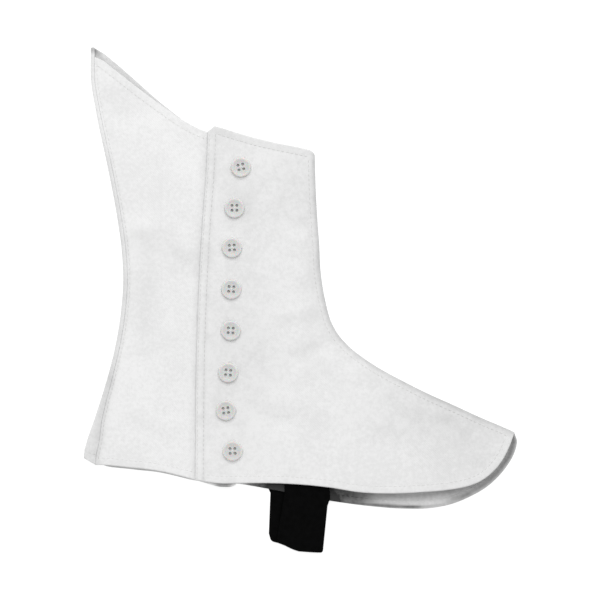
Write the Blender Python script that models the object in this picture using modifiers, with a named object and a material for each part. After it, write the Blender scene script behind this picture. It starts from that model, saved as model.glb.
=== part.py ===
"""A white canvas spat for the right foot, buttoned up and laid on its inner side.

The toe points along +X, the cuff along +Y, and the surface it lies on is z = 0. The inner side is
one piece: it lies flat, turns up round the back fold and ends at the back seam. The outer back
carries the button stand, and the outer front, with the vamp, laps over it and meets the inner side
at the centre-front seam. A webbing strap, folded flat, leaves the tube at the hem.
"""
import math
from collections import namedtuple

import bpy
import numpy as np

MM = 0.001

# Driving sizes, in millimetres.
CLOTH = 1.3            # wall of the canvas, with its backing
GAP = 0.3              # between two pieces that are sewn or lie together
SEAM_GAP = 0.65        # between the two edges of the slanting back seam
FOLD_RADIUS = 2.2      # outer radius of the back fold
HEEL_TURN = 25.0       # degrees that the way in from the fold turns down to follow the hem
HEEL_REACH = 0.16      # fraction of the fold's height over which it turns back
FRONT_HEIGHT = 5.45    # middle of the outer front's wall above the surface
FRONT_TURN = 24.0      # how far from the centre-front seam the outer front turns down
TOE_GAPE = 3.8         # how far the outer front arches up at the toe's hem, over the inner side
GAPE_X = 64.0          # where along the hem it is highest
GAPE_SPREAD = 44.0     # how fast it comes down to each side
GAPE_REACH = 34.0      # and inward from the hem
BACK_CROWN = 0.8       # how much the outer back swells between its seam and the placket
CROWN_REACH = 15.0     # how far from either it comes up to that
STAND_CLEAR = 3.0      # how flat the panels stay beside the placket's overlap
HOLLOW_EASE = 12.0     # how far from the overlap and the seams the soft hollows come to full depth
UNDERLAP = 28.0        # width of the button stand under the placket
PLACKET_STITCH = 5.3   # from the placket edge to its second row of stitching
STRAP_WALL = 1.2       # thickness of the webbing
STRAP_TOP = -98.6      # y where the strap's legs are sewn on
STRAP_INSIDE = 3.7     # height of the strap's near leg between the panels
STRAP_LOW = 3.0        # height of its near leg at the fold
STRAP_DROP = -127.0    # y where the near leg, past the hems, starts to sink to the fold
SINK_LENGTH = 20.0     # over which it sinks
STRAP_RISE = 1.5       # how far the inner side is lifted where it lies on the strap
RISE_MARGIN = 5.0      # how far past the strap it keeps that height
RISE_RAMP = 16.0       # over which it comes down to the surface again
BUTTON_RADIUS = 6.35
BUTTON_HOLE = 0.95     # radius of each of the four holes
HOLE_SPACING = 3.1
CENTRE = (0.15, -0.49)   # moves the spat so that the origin is at the middle of its box

ROWS = 32              # stations up each panel
FINE = 400             # samples of a smooth curve
ACROSS = 121           # samples along each row of a panel

Point = namedtuple("Point", "x y")
Seam = namedtuple("Seam", "height distance")
Leg = namedtuple("Leg", "y left right")
Fold = namedtuple("Fold", "fraction y")
Hollow = namedtuple("Hollow", "x y angle length width depth")
Button = namedtuple("Button", "x y turn")

# The back fold, from the heel up to the tip of the peak.
BACK = [
    Point(-138.9, -100.6), Point(-138.6, -96.8), Point(-136.3, -88.0), Point(-131.9, -75.2),
    Point(-126.8, -59.5), Point(-118.6, -29.0), Point(-114.7, -4.0), Point(-113.6, 15.0),
    Point(-114.6, 33.0), Point(-117.8, 56.0), Point(-122.1, 79.0), Point(-131.3, 123.0),
    Point(-134.1, 140.0), Point(-134.3, 162.4),
]

# The back seam on the near side: how far it is from the fold, at fractions of the fold's height.
BACK_SEAM = [
    Seam(0.00, 8.9), Seam(0.06, 9.3), Seam(0.11, 8.4), Seam(0.17, 4.6), Seam(0.23, 2.9), Seam(1.00, 2.5),
]

# The centre-front seam, from the toe up to the cuff.
FRONT = [
    Point(137.0, -84.3), Point(133.4, -82.6), Point(115.5, -74.9), Point(98.3, -67.0),
    Point(81.6, -59.5), Point(66.2, -51.8), Point(52.2, -44.3), Point(40.0, -36.5),
    Point(30.4, -28.8), Point(23.7, -21.1), Point(19.3, -13.0), Point(16.2, -2.0),
    Point(13.9, 9.6), Point(12.6, 20.0), Point(11.9, 34.0), Point(10.5, 54.0),
    Point(9.4, 75.0), Point(8.9, 93.4),
]

# The placket, the outer front's back edge, from the hem up to the cuff.
PLACKET = [
    Point(-67.4, -114.7), Point(-67.2, -85.0), Point(-66.6, -33.0), Point(-64.9, 13.0),
    Point(-62.8, 51.0), Point(-60.3, 85.0), Point(-59.4, 108.3),
]

# The inner side's hem, from the heel to the toe, which shows below the outer one.
INNER_HEM = [
    Point(-138.9, -100.6), Point(-129.9, -103.6), Point(-124.6, -105.9), Point(-119.0, -106.8),
    Point(-111.4, -107.5), Point(-103.7, -108.4), Point(-92.4, -109.6), Point(-84.5, -111.1),
    Point(-76.8, -113.0), Point(-69.1, -114.8), Point(-61.8, -115.8), Point(-37.4, -117.5),
    Point(-19.5, -120.5), Point(18.9, -128.0), Point(45.0, -131.5), Point(66.0, -133.0),
    Point(84.1, -132.6), Point(98.2, -129.7), Point(108.2, -125.6), Point(118.9, -119.5),
    Point(131.2, -107.3), Point(137.2, -97.0), Point(138.8, -89.6), Point(137.0, -84.3),
]

# The inner side's cuff, from the tip of the peak to the centre-front seam.
INNER_TOP = [
    Point(-134.3, 162.4), Point(-128.6, 160.4), Point(-120.6, 154.2), Point(-106.0, 141.6),
    Point(-87.2, 125.2), Point(-69.4, 112.4), Point(-45.0, 104.2), Point(-15.0, 97.4), Point(8.9, 93.4),
]

# The outer back's cuff, from the back seam to the front edge of the button stand.
BACK_TOP = [
    Point(-133.8, 158.4), Point(-127.0, 154.2), Point(-121.6, 150.1), Point(-113.9, 144.2),
    Point(-105.0, 137.1), Point(-96.3, 130.6), Point(-87.4, 124.2), Point(-77.1, 117.0),
    Point(-69.4, 112.4), Point(-58.0, 107.6), Point(-31.0, 103.4),
]

# The outer back's hem, from the back seam past the button stand's lower corner.
BACK_HEM = [
    Point(-129.9, -103.4), Point(-122.9, -105.2), Point(-115.2, -106.0), Point(-107.5, -106.8),
    Point(-99.8, -107.5), Point(-92.2, -108.6), Point(-84.5, -110.1), Point(-76.8, -112.0),
    Point(-69.1, -114.1), Point(-61.5, -116.3), Point(-50.2, -119.0), Point(-42.5, -118.2),
    Point(-39.0, -115.0),
]

# The outer front's cuff: the short slant at the placket, then the cuff proper to the front seam.
FRONT_SLANT = [Point(-59.4, 108.3), Point(-54.8, 112.0)]
FRONT_TOP = [
    Point(-54.8, 112.0), Point(-51.6, 111.1), Point(-46.4, 109.5), Point(-31.0, 104.9),
    Point(-15.7, 101.2), Point(-0.3, 98.1), Point(5.4, 96.7), Point(7.7, 95.6), Point(8.9, 93.4),
]

# The outer front's hem, from the placket to the toe.
FRONT_HEM = [
    Point(-67.4, -114.7), Point(-50.2, -116.8), Point(-38.7, -116.6), Point(-10.6, -116.8),
    Point(18.2, -119.2), Point(38.0, -122.2), Point(59.2, -122.9), Point(77.9, -122.1),
    Point(95.1, -120.6), Point(106.1, -118.6), Point(114.2, -115.7), Point(126.5, -105.5),
    Point(133.1, -94.4), Point(137.0, -84.3),
]

# The strap's legs: the near one comes from inside the outer side, the far one from under the inner.
NEAR_LEG = [
    Leg(-98.6, -11.0, 17.6), Leg(-117.1, -10.3, 18.0), Leg(-122.2, -10.2, 18.8),
    Leg(-126.2, -10.8, 19.0), Leg(-131.2, -11.6, 17.3), Leg(-145.3, -13.9, 15.9), Leg(-162.0, -16.2, 14.2),
]
FAR_LEG = [
    Leg(-98.6, -20.8, 8.0), Leg(-119.0, -21.1, 7.7), Leg(-123.0, -19.3, 9.6),
    Leg(-149.0, -20.3, 9.0), Leg(-154.0, -18.9, 10.8), Leg(-162.0, -17.6, 12.8),
]
# Where the strap folds, at fractions of its width from its left edge.
STRAP_REACH = [
    Fold(0.00, -154.4), Fold(0.12, -155.3), Fold(0.26, -157.0), Fold(0.40, -159.2), Fold(0.52, -160.5),
    Fold(0.76, -161.1), Fold(1.00, -161.4),
]

# Soft hollows pressed into the outer side: their middle, direction in degrees, and size.
HOLLOWS = [
    Hollow(-2.0, 6.0, 14.0, 20.0, 9.0, 0.55),
    Hollow(4.0, 28.0, -6.0, 14.0, 8.0, 0.35),
    Hollow(22.0, -48.0, 42.0, 30.0, 11.0, 0.50),
    Hollow(84.0, -84.0, -28.0, 34.0, 10.0, 0.45),
    Hollow(-96.0, 30.0, 82.0, 36.0, 8.0, 0.45),
    Hollow(-104.0, -58.0, 60.0, 26.0, 8.0, 0.40),
]

# The buttons, from the cuff down, with the turn of their holes in degrees.
BUTTONS = [
    Button(-38.1, 85.2, 13.0), Button(-42.2, 59.1, 0.0), Button(-43.8, 33.7, 4.0),
    Button(-44.2, 7.2, -4.0), Button(-44.6, -19.2, -3.0), Button(-46.2, -46.1, -6.0),
    Button(-47.7, -70.3, 8.0), Button(-43.4, -96.2, 2.0),
]

# Half of a button's outline, from the middle of its face over the rim to the middle of its back.
BUTTON_PROFILE = [
    Point(0.0, 1.75), Point(3.5, 1.8), Point(4.6, 2.5), Point(5.4, 2.7), Point(6.05, 2.35),
    Point(BUTTON_RADIUS, 1.6), Point(5.9, 0.75), Point(4.2, 0.1), Point(0.0, 0.0),
]
BUTTON_SIDES = 20
HOLE_SIDES = 8


def curve(*runs):
    """Returns fine points along smooth curves through the runs' points, with a corner between runs."""
    pieces = []
    for run in runs:
        knots = np.array(run, float)
        at = np.concatenate([[0.0], np.cumsum(np.linalg.norm(np.diff(knots, axis=0), axis=1))])
        slopes = np.gradient(knots, at, axis=0) if len(knots) > 2 else np.repeat(
            [(knots[1] - knots[0]) / at[1]], 2, axis=0)
        where = np.linspace(0.0, at[-1], FINE)
        k = np.clip(np.searchsorted(at, where, side="right") - 1, 0, len(at) - 2)
        span = (at[k + 1] - at[k])[:, None]
        s = (where - at[k])[:, None] / span
        pieces.append(
            (2 * s**3 - 3 * s**2 + 1) * knots[k] + (s**3 - 2 * s**2 + s) * span * slopes[k]
            + (3 * s**2 - 2 * s**3) * knots[k + 1] + (s**3 - s**2) * span * slopes[k + 1])
    return np.concatenate([pieces[0]] + [piece[1:] for piece in pieces[1:]])


def length_along(line):
    """Returns the distance from a line's start to each of its points."""
    return np.concatenate([[0.0], np.cumsum(np.linalg.norm(np.diff(line, axis=0), axis=1))])


def walk(line, distances):
    """Returns the points at the given distances along a line."""
    at = length_along(line)
    return np.stack([np.interp(distances, at, line[:, axis]) for axis in range(line.shape[1])], axis=1)


def spread(line, fractions):
    """Returns the points at the given fractions of a line's length."""
    return walk(line, np.asarray(fractions) * length_along(line)[-1])


def smoothstep(value):
    """Eases from 0 to 1 as value goes from 0 to 1."""
    value = np.clip(value, 0.0, 1.0)
    return value * value * (3.0 - 2.0 * value)


def patch(left, right, hem, top, from_left, middle, from_right):
    """Spans a panel between its four edges, as a grid of plan points by row and column.

    Each row's columns stand at fixed distances from its two ends, with middle even steps between.
    Returns the grid, and each point's distance along its row from the left and from the right.
    """
    fractions = np.linspace(0.0, 1.0, ROWS + 1)
    across = np.linspace(0.0, 1.0, ACROSS)
    edges = [spread(left, fractions), spread(right, fractions), spread(hem, across), spread(top, across)]
    v = fractions[:, None, None]
    u = across[None, :, None]
    sides = (1 - u) * edges[0][:, None] + u * edges[1][:, None]
    ends = (1 - v) * edges[2][None] + v * edges[3][None]
    corners = ((1 - v) * ((1 - u) * edges[2][0] + u * edges[2][-1])
               + v * ((1 - u) * edges[3][0] + u * edges[3][-1]))
    dense = sides + ends - corners
    grid, starts, stops = [], [], []
    for row in dense:
        whole = length_along(row)[-1]
        inner = np.linspace(from_left[-1], whole - from_right[0], middle + 1)[1:-1]
        distances = np.concatenate([from_left, inner, whole - np.array(from_right)])
        grid.append(walk(row, distances))
        starts.append(distances)
        stops.append(whole - distances)
    return np.array(grid), np.array(starts), np.array(stops)


def inward(line, points):
    """Returns the unit directions from the back fold into the panel, at points on the line."""
    places = [int(np.argmin(np.linalg.norm(line - point, axis=1))) for point in points]
    tangents = np.array([line[min(k + 2, len(line) - 1)] - line[max(k - 2, 0)] for k in places])
    normals = np.stack([tangents[:, 1], -tangents[:, 0]], axis=1)
    return normals / np.linalg.norm(normals, axis=1)[:, None]


def back_fold():
    """Returns the fold's outline at each row, the way in from it, and the back seam's distance."""
    line = curve(BACK)
    fractions = np.linspace(0.0, 1.0, ROWS + 1)
    outline = spread(line, fractions)
    heights, distances = zip(*BACK_SEAM)
    x, y = inward(line, outline).T
    turn = np.radians(HEEL_TURN) * smoothstep(1.0 - fractions / HEEL_REACH)
    way_in = np.stack([x * np.cos(turn) + y * np.sin(turn), y * np.cos(turn) - x * np.sin(turn)], axis=1)
    return outline, way_in, np.interp(fractions, heights, distances)


def hollow_depth(x, y):
    """Returns how deep the soft hollows are at x, y."""
    depth = np.zeros_like(x)
    for hollow in HOLLOWS:
        turn = math.radians(hollow.angle)
        along = (x - hollow.x) * math.cos(turn) + (y - hollow.y) * math.sin(turn)
        across = (y - hollow.y) * math.cos(turn) - (x - hollow.x) * math.sin(turn)
        depth += hollow.depth * np.exp(-(along / hollow.length) ** 2 - (across / hollow.width) ** 2)
    return depth


def front_height(x, y, to_seam, to_hem):
    """Returns the middle of the outer front's wall at x, y, that far from the front seam and the hem."""
    at_seam = CLOTH / 2 + CLOTH + GAP
    near = 1.0 - np.clip(to_seam / FRONT_TURN, 0.0, 1.0)
    past_stand = x - np.interp(y, *placket_by_height()) - UNDERLAP - STAND_CLEAR
    hollow = hollow_depth(x, y) * smoothstep(past_stand / HOLLOW_EASE) * smoothstep(to_seam / HOLLOW_EASE)
    gape = TOE_GAPE * np.exp(-((x - GAPE_X) / GAPE_SPREAD) ** 2 - (to_hem / GAPE_REACH) ** 2)
    return at_seam + (FRONT_HEIGHT - at_seam + gape) * np.sqrt(1.0 - near ** 2) - hollow


def placket_by_height():
    """Returns the placket's heights and the x of each, for reading x at a height."""
    return [point.y for point in PLACKET], [point.x for point in PLACKET]


def material(name, colour, roughness):
    """Makes a plain material."""
    made = bpy.data.materials.new(name)
    made.use_nodes = True
    shader = made.node_tree.nodes["Principled BSDF"]
    shader.inputs["Base Color"].default_value = (*colour, 1.0)
    shader.inputs["Roughness"].default_value = roughness
    shader.inputs["Metallic"].default_value = 0.0
    return made


def cloth_sheet(name, grid, wall, cloth, collection, parent):
    """Makes a named sheet from a grid of points in millimetres, with its wall half to each side."""
    rows, columns = grid.shape[:2]
    mesh = bpy.data.meshes.new(name)
    faces = [
        (row * columns + k, row * columns + k + 1, (row + 1) * columns + k + 1, (row + 1) * columns + k)
        for row in range(rows - 1) for k in range(columns - 1)
    ]
    mesh.from_pydata((grid.reshape(-1, 3) * MM).tolist(), [], faces)
    mesh.shade_smooth()
    mesh.materials.append(cloth)
    sheet = bpy.data.objects.new(name, mesh)
    collection.objects.link(sheet)
    sheet.parent = parent
    solidify = sheet.modifiers.new("Wall", "SOLIDIFY")
    solidify.thickness = wall * MM
    solidify.offset = 0.0
    solidify.use_even_offset = True
    return sheet


def inner_panel_grid():
    """Works out the inner side: its band on the near side, the back fold and the flat sheet."""
    outline, way_in, seam = back_fold()
    start = outline + way_in * FOLD_RADIUS
    left = curve([Point(*point) for point in start])
    hem = curve([Point(*start[0])] + INNER_HEM[1:])
    top = curve([Point(*start[-1])] + INNER_TOP[1:])
    plan, _, _ = patch(left, curve(FRONT), hem, top, [0.0, 10.0, 20.0], 22, [20.0, 12.0, 5.0, 0.0])
    sheet = np.concatenate([plan, (CLOTH / 2 + strap_lift(plan[..., 0], plan[..., 1]))[..., None]], axis=2)

    turn = FOLD_RADIUS - CLOTH / 2
    upper = FOLD_RADIUS + turn
    fold_angles = np.radians(np.linspace(90.0, -90.0, 7))[:-1]
    rows = []
    for row in range(ROWS + 1):
        folded = []
        for share in (1.0, 0.5):
            place = outline[row] + way_in[row] * (FOLD_RADIUS + (seam[row] - FOLD_RADIUS) * share)
            folded.append((*place, upper))
        for angle in fold_angles:
            place = start[row] - way_in[row] * turn * math.cos(angle)
            folded.append((*place, FOLD_RADIUS + turn * math.sin(angle)))
        rows.append(np.concatenate([np.array(folded), sheet[row]]))
    return np.array(rows)


def strap_lift(x, y):
    """Returns how far the inner side is lifted off the surface by the strap's far leg."""
    left = min(leg.left for leg in FAR_LEG[:3]) - RISE_MARGIN
    right = max(leg.right for leg in FAR_LEG[:3]) + RISE_MARGIN
    beside = smoothstep(1.0 - np.maximum(left - x, x - right) / RISE_RAMP)
    above = smoothstep(1.0 - (y - STRAP_TOP - RISE_MARGIN) / RISE_RAMP)
    return STRAP_RISE * beside * above


def outer_back_grid():
    """Works out the outer back, from the back seam to the front edge of the button stand."""
    outline, way_in, seam = back_fold()
    start = outline + way_in * (seam + SEAM_GAP)[:, None]
    start[-1] = (start[-1][0], BACK_TOP[0].y - 2.2)
    left = curve([Point(*point) for point in start])
    stand = [Point(point.x + UNDERLAP, point.y) for point in PLACKET]
    stand[0] = Point(stand[0].x, BACK_HEM[-1].y)
    stand[-1] = Point(stand[-1].x, BACK_TOP[-1].y)
    hem = curve([Point(*start[0])] + BACK_HEM[1:-1] + [stand[0]])
    top = curve([Point(*start[-1])] + BACK_TOP[1:-1] + [stand[-1]])
    plan, from_seam, _ = patch(left, curve(stand), hem, top, [0.0, 5.0], 10, [16.0, 8.0, 0.0])

    x, y = plan[..., 0], plan[..., 1]
    to_placket = np.interp(y, *placket_by_height()) - x - STAND_CLEAR
    swell = (1.0 - np.exp(-from_seam / CROWN_REACH)) * (
        1.0 - np.exp(-np.clip(to_placket, 0.0, None) / CROWN_REACH))
    height = 2 * FOLD_RADIUS - CLOTH / 2 + BACK_CROWN * swell - hollow_depth(x, y) * swell
    return np.concatenate([plan, height[..., None]], axis=2)


def outer_front_grid():
    """Works out the outer front, from the placket over the vamp to the centre-front seam."""
    placket_columns = [0.0, PLACKET_STITCH / 2, PLACKET_STITCH, 12.0, 21.0, UNDERLAP + STAND_CLEAR]
    plan, _, to_seam = patch(
        curve(PLACKET), curve(FRONT), curve(FRONT_HEM), curve(FRONT_SLANT, FRONT_TOP),
        placket_columns, 12, [24.0, 15.0, 8.5, 4.0, 1.4, 0.0])
    to_hem = np.linalg.norm(plan - plan[0], axis=2)
    height = front_height(plan[..., 0], plan[..., 1], to_seam, to_hem)
    return np.concatenate([plan, height[..., None]], axis=2)


def strap_grid():
    """Works out the strap's loop: down the near leg, round the fold and up the far leg."""
    fractions, reaches = (np.array(column) for column in zip(*STRAP_REACH))
    low = STRAP_WALL / 2
    radius = (STRAP_LOW - low) / 2
    fold = np.array(reaches) + radius + STRAP_WALL / 2

    def across(leg, y):
        """Returns the strap's x at each fraction of its width, for a y at each fraction."""
        heights = [-row.y for row in leg]
        left = np.interp(-y, heights, [row.left for row in leg])
        right = np.interp(-y, heights, [row.right for row in leg])
        return left + (right - left) * fractions

    rows = []
    for share in np.linspace(0.0, 1.0, 9):
        y = STRAP_TOP + (fold - STRAP_TOP) * share
        fall = smoothstep((STRAP_DROP - y) / SINK_LENGTH)
        height = STRAP_INSIDE + (STRAP_LOW - STRAP_INSIDE) * fall
        rows.append(np.stack([across(NEAR_LEG, y), y, height], axis=1))
    for angle in np.radians(np.linspace(0.0, 180.0, 7))[1:-1]:
        y = fold - radius * math.sin(angle)
        share = (1.0 - math.cos(angle)) / 2
        x = across(NEAR_LEG, y) * (1.0 - share) + across(FAR_LEG, y) * share
        height = np.full_like(y, low + radius + radius * math.cos(angle))
        rows.append(np.stack([x, y, height], axis=1))
    for share in np.linspace(1.0, 0.0, 9):
        y = STRAP_TOP + (fold - STRAP_TOP) * share
        rows.append(np.stack([across(FAR_LEG, y), y, np.full_like(y, low)], axis=1))
    return np.array(rows)


def button_mesh(plastic, collection, cutters):
    """Turns one button and cuts its four holes, as a mesh that all the buttons share."""
    profile = bpy.data.meshes.new("button_profile")
    points = [(point.x * MM, 0.0, point.y * MM) for point in BUTTON_PROFILE]
    profile.from_pydata(points, [(k, k + 1) for k in range(len(points) - 1)], [])
    turned = bpy.data.objects.new("button_blank", profile)
    collection.objects.link(turned)
    screw = turned.modifiers.new("Turn", "SCREW")
    screw.steps = BUTTON_SIDES
    screw.render_steps = BUTTON_SIDES
    screw.use_merge_vertices = True
    screw.merge_threshold = 0.00001
    screw.use_smooth_shade = True
    for side_x in (-0.5, 0.5):
        for side_y in (-0.5, 0.5):
            cut_hole(turned, side_x * HOLE_SPACING, side_y * HOLE_SPACING, cutters)
    bpy.context.view_layer.update()
    evaluated = turned.evaluated_get(bpy.context.evaluated_depsgraph_get())
    mesh = bpy.data.meshes.new_from_object(evaluated)
    mesh.name = "button"
    mesh.set_sharp_from_angle(angle=math.radians(40.0))
    mesh.materials.clear()
    mesh.materials.append(plastic)
    bpy.data.objects.remove(turned)
    return mesh


def cut_hole(turned, x, y, cutters):
    """Cuts one thread hole through a button."""
    bpy.ops.mesh.primitive_cylinder_add(
        vertices=HOLE_SIDES, radius=BUTTON_HOLE * MM, depth=8.0 * MM, location=(x * MM, y * MM, 1.0 * MM))
    cutter = bpy.context.object
    cutter.name = "thread_hole"
    for owner in list(cutter.users_collection):
        owner.objects.unlink(cutter)
    cutters.objects.link(cutter)
    cutter.hide_render = True
    cutter.display_type = "WIRE"
    boolean = turned.modifiers.new("Hole", "BOOLEAN")
    boolean.operation = "DIFFERENCE"
    boolean.object = cutter


def buttons(plastic, collection, cutters, parent):
    """Lays the eight buttons on the outer front."""
    mesh = button_mesh(plastic, collection, cutters)
    for number, place in enumerate(BUTTONS, start=1):
        button = bpy.data.objects.new(f"button_{number}", mesh)
        collection.objects.link(button)
        button.parent = parent
        button.location = (place.x * MM, place.y * MM, (FRONT_HEIGHT + CLOTH / 2 + GAP) * MM)
        button.rotation_euler = (0.0, 0.0, math.radians(place.turn))


def main():
    """Clears the scene and builds the spat."""
    for old in list(bpy.data.objects):
        bpy.data.objects.remove(old, do_unlink=True)
    collection = bpy.data.collections.new("spat")
    cutters = bpy.data.collections.new("cutters")
    for made in (collection, cutters):
        bpy.context.scene.collection.children.link(made)
    middle = bpy.data.objects.new("middle", None)
    middle.location = (CENTRE[0] * MM, CENTRE[1] * MM, 0.0)
    collection.objects.link(middle)

    canvas = material("white_canvas", (0.83, 0.83, 0.84), 0.9)
    webbing = material("black_webbing", (0.012, 0.012, 0.013), 0.75)
    plastic = material("white_plastic", (0.72, 0.72, 0.71), 0.35)
    cloth_sheet("inner_panel", inner_panel_grid(), CLOTH, canvas, collection, middle)
    cloth_sheet("outer_back", outer_back_grid(), CLOTH, canvas, collection, middle)
    cloth_sheet("outer_front", outer_front_grid(), CLOTH, canvas, collection, middle)
    cloth_sheet("strap", strap_grid(), STRAP_WALL, webbing, collection, middle)
    buttons(plastic, collection, cutters, middle)
    bpy.context.view_layer.update()


main()
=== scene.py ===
"""The looks of a white canvas spat for the right foot, buttoned up and laid on its inner side.

Lengths are in millimetres until a mesh is made. The toe points along +X, the cuff along +Y, and
the surface that the spat lies on is z = 0, as in the CAD model whose tables are repeated here.
"""
import math
import random
from collections import namedtuple
from itertools import product

import bmesh
import bpy
import numpy as np
from mathutils import Matrix, Vector
from mathutils.bvhtree import BVHTree
from mathutils.kdtree import KDTree


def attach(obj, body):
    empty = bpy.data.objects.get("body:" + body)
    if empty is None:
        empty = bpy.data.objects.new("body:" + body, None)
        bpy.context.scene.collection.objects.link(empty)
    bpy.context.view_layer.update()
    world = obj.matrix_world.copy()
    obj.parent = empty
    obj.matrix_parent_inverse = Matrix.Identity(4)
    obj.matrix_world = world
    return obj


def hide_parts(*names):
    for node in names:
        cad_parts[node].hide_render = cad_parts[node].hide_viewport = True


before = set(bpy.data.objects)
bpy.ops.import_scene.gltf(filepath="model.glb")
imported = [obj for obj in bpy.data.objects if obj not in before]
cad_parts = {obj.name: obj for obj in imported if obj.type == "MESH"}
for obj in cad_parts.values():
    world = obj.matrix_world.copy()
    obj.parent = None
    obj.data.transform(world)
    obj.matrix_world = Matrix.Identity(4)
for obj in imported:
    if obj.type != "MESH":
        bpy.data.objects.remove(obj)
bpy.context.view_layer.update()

MM = 0.001

# The sizes of the CAD model.
CLOTH = 1.3  # wall of the canvas, with its backing
GAP = 0.3  # between two pieces that are sewn or lie together
SEAM_GAP = 0.02  # between the two edges of the back seam, which is 0.65 in the CAD model
FOLD_RADIUS = 2.2  # outer radius of the back fold
HEEL_TURN = 25  # degrees that the way in from the fold turns down to follow the hem
HEEL_REACH = 0.16  # fraction of the fold's height over which it turns back
FRONT_HEIGHT = 5.45  # middle of the outer front's wall above the surface
FRONT_TURN = 24  # how far from the centre-front seam the outer front turns down
TOE_GAPE = 3.8  # how far the outer front arches up at the toe's hem, over the inner side
GAPE_X = 64  # where along the hem it is highest
GAPE_SPREAD = 44  # how fast it comes down to each side
GAPE_REACH = 34  # and inward from the hem
BACK_CROWN = 0.8  # how much the outer back swells between its seam and the placket
CROWN_REACH = 15  # how far from either it comes up to that
STAND_CLEAR = 3  # how flat the panels stay beside the placket's overlap
HOLLOW_EASE = 12  # how far from the overlap and the seams the soft hollows come to full depth
UNDERLAP = 28  # width of the button stand under the placket
STRAP_WALL = 1.2  # thickness of the webbing
STRAP_WIDTH = 28.6
STRAP_TOP = -98.6  # y where the strap's legs are sewn on
STRAP_INSIDE = 3.7  # height of the strap's near leg between the panels
STRAP_LOW = 3  # height of its near leg at the fold
STRAP_DROP = -127  # y where the near leg, past the hems, starts to sink to the fold
SINK_LENGTH = 20  # over which it sinks
STRAP_RISE = 1.5  # how far the inner side is lifted where it lies on the strap
RISE_MARGIN = 5  # how far past the strap it keeps that height
RISE_RAMP = 16  # over which it comes down to the surface again
BUTTON_GAP = 0.12  # between a button and the cloth, which is 0.3 in the CAD model
BUTTON_UP = 0.35  # how far nearer the cuff a button hangs than in the CAD model
BUTTON_HEIGHT = FRONT_HEIGHT + CLOTH / 2 + BUTTON_GAP
CENTRE = (0.15, -0.49)  # moves the spat so that the origin is at the middle of its box

# The finer shape of the cloth.
EDGE_ROUND = 0.75  # how far from its rim a panel comes to its full thickness
STITCH_INSET = 4.6  # from a hem or cuff to its stitching
PLACKET_STITCH = 5.2  # from the placket's edge to its second row of stitching
PLACKET_EDGE = 1.3  # and to its first row
FRONT_STITCH = 3.9  # from the centre-front seam to the topstitching beside it
BACK_STITCH = 1.7  # from the back seam to its topstitching
TURNING = 0.12  # extra thickness where a hem is turned in
GROOVE_DEPTH = 0.08  # how deep the stitching pulls the cloth in
GROOVE_WIDTH = 0.85
PLACKET_GROOVE = 0.24  # and at the placket
BACK_GROOVE = 0.07  # and beside the back seam
PLACKET_WIDTH = 1.25
SEAM_ROUND = 0.12  # how far from the back seam its two edges come to their full thickness
HEEL_VALLEY = 0.34  # how deep the cloth sinks along the back seam at the heel
VALLEY_WIDTH = 3.2
FOLD_REACH = 3  # how far past the back seam the painted shade of the fold reaches
PLACKET_DROP = 0.37  # how far the placket's edge drops onto the outer back
STITCH_PITCH = 3  # from one stitch to the next
STITCH_LENGTH = 2.3
STITCH_RADIUS = 0.17
HEEL_PRESS = 0.62  # how much tighter the back fold is pressed at the heel
PRESS_REACH = 0.26  # fraction of the fold's height over which it opens out again
LUMP_HEIGHT = 0.12  # unevenness of the cloth as it lies
LUMP_SIZE = 13
RISE_BELOW = 0.5  # the most that the folds of the inner side lift it off the surface
HEM_CURL = 1.3  # how far the inner side's hem curls up in the middle of the gape
CURL_REACH = 8  # over this distance from the hem
CURL_X = 74
CURL_SPREAD = 24

FINE = 240  # samples of a smooth curve
ACROSS = 181  # samples along each row of a panel
WAVES = 22  # waves that make up the unevenness
NEAR_RIM = [0, 0.08, 0.25, 0.5, 0.8, 1.2, 1.7, 2.2, 2.7, 3.2, 3.7, 4.2, 4.7, 5.2, 5.7, 6.3, 7.2]

Point = namedtuple("Point", "x y")
Seam = namedtuple("Seam", "height distance")
Leg = namedtuple("Leg", "y left right")
Fold = namedtuple("Fold", "fraction y")
Hollow = namedtuple("Hollow", "x y angle length width depth")
Crease = namedtuple("Crease", "x y angle length width depth bend")
Button = namedtuple("Button", "x y turn")
FoldShade = namedtuple("FoldShade", "y grey")
ShadeAndSoil = namedtuple("ShadeAndSoil", "x broad line")
Patch = namedtuple("Patch", "x y wide high grey")


def table(kind, rows):
    """Returns rows of numbers as named tuples."""
    return [kind(*row) for row in rows]


# The back fold, from the heel up to the tip of the peak.
BACK = table(Point, [
    (-138.9, -100.6), (-138.6, -96.8), (-136.3, -88), (-131.9, -75.2), (-126.8, -59.5), (-118.6, -29),
    (-114.7, -4), (-113.6, 15), (-114.6, 33), (-117.8, 56), (-122.1, 79), (-131.3, 123), (-134.1, 140),
    (-134.3, 162.4),
])

# The back seam on the near side: how far it is from the fold, at fractions of the fold's height.
# At the heel it follows the photograph more closely than the CAD model's does.
BACK_SEAM = table(Seam, [
    (0, 8.9), (0.023, 9), (0.043, 8.7), (0.0625, 7.8), (0.082, 6.3), (0.1, 5), (0.12, 4.3), (0.15, 3.6),
    (0.23, 2.9), (1, 2.5),
])

# The centre-front seam, from the toe up to the cuff.
FRONT = table(Point, [
    (137, -84.3), (133.4, -82.6), (115.5, -74.9), (98.3, -67), (81.6, -59.5), (66.2, -51.8),
    (52.2, -44.3), (40, -36.5), (30.4, -28.8), (23.7, -21.1), (19.3, -13), (16.2, -2), (13.9, 9.6),
    (12.6, 20), (11.9, 34), (10.5, 54), (9.4, 75), (8.9, 93.4),
])

# The placket, the outer front's back edge, from the hem up to the cuff.
PLACKET = table(Point, [
    (-67.4, -114.7), (-67.2, -85), (-66.6, -33), (-64.9, 13), (-62.8, 51), (-60.3, 85), (-59.4, 108.3),
])

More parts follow.
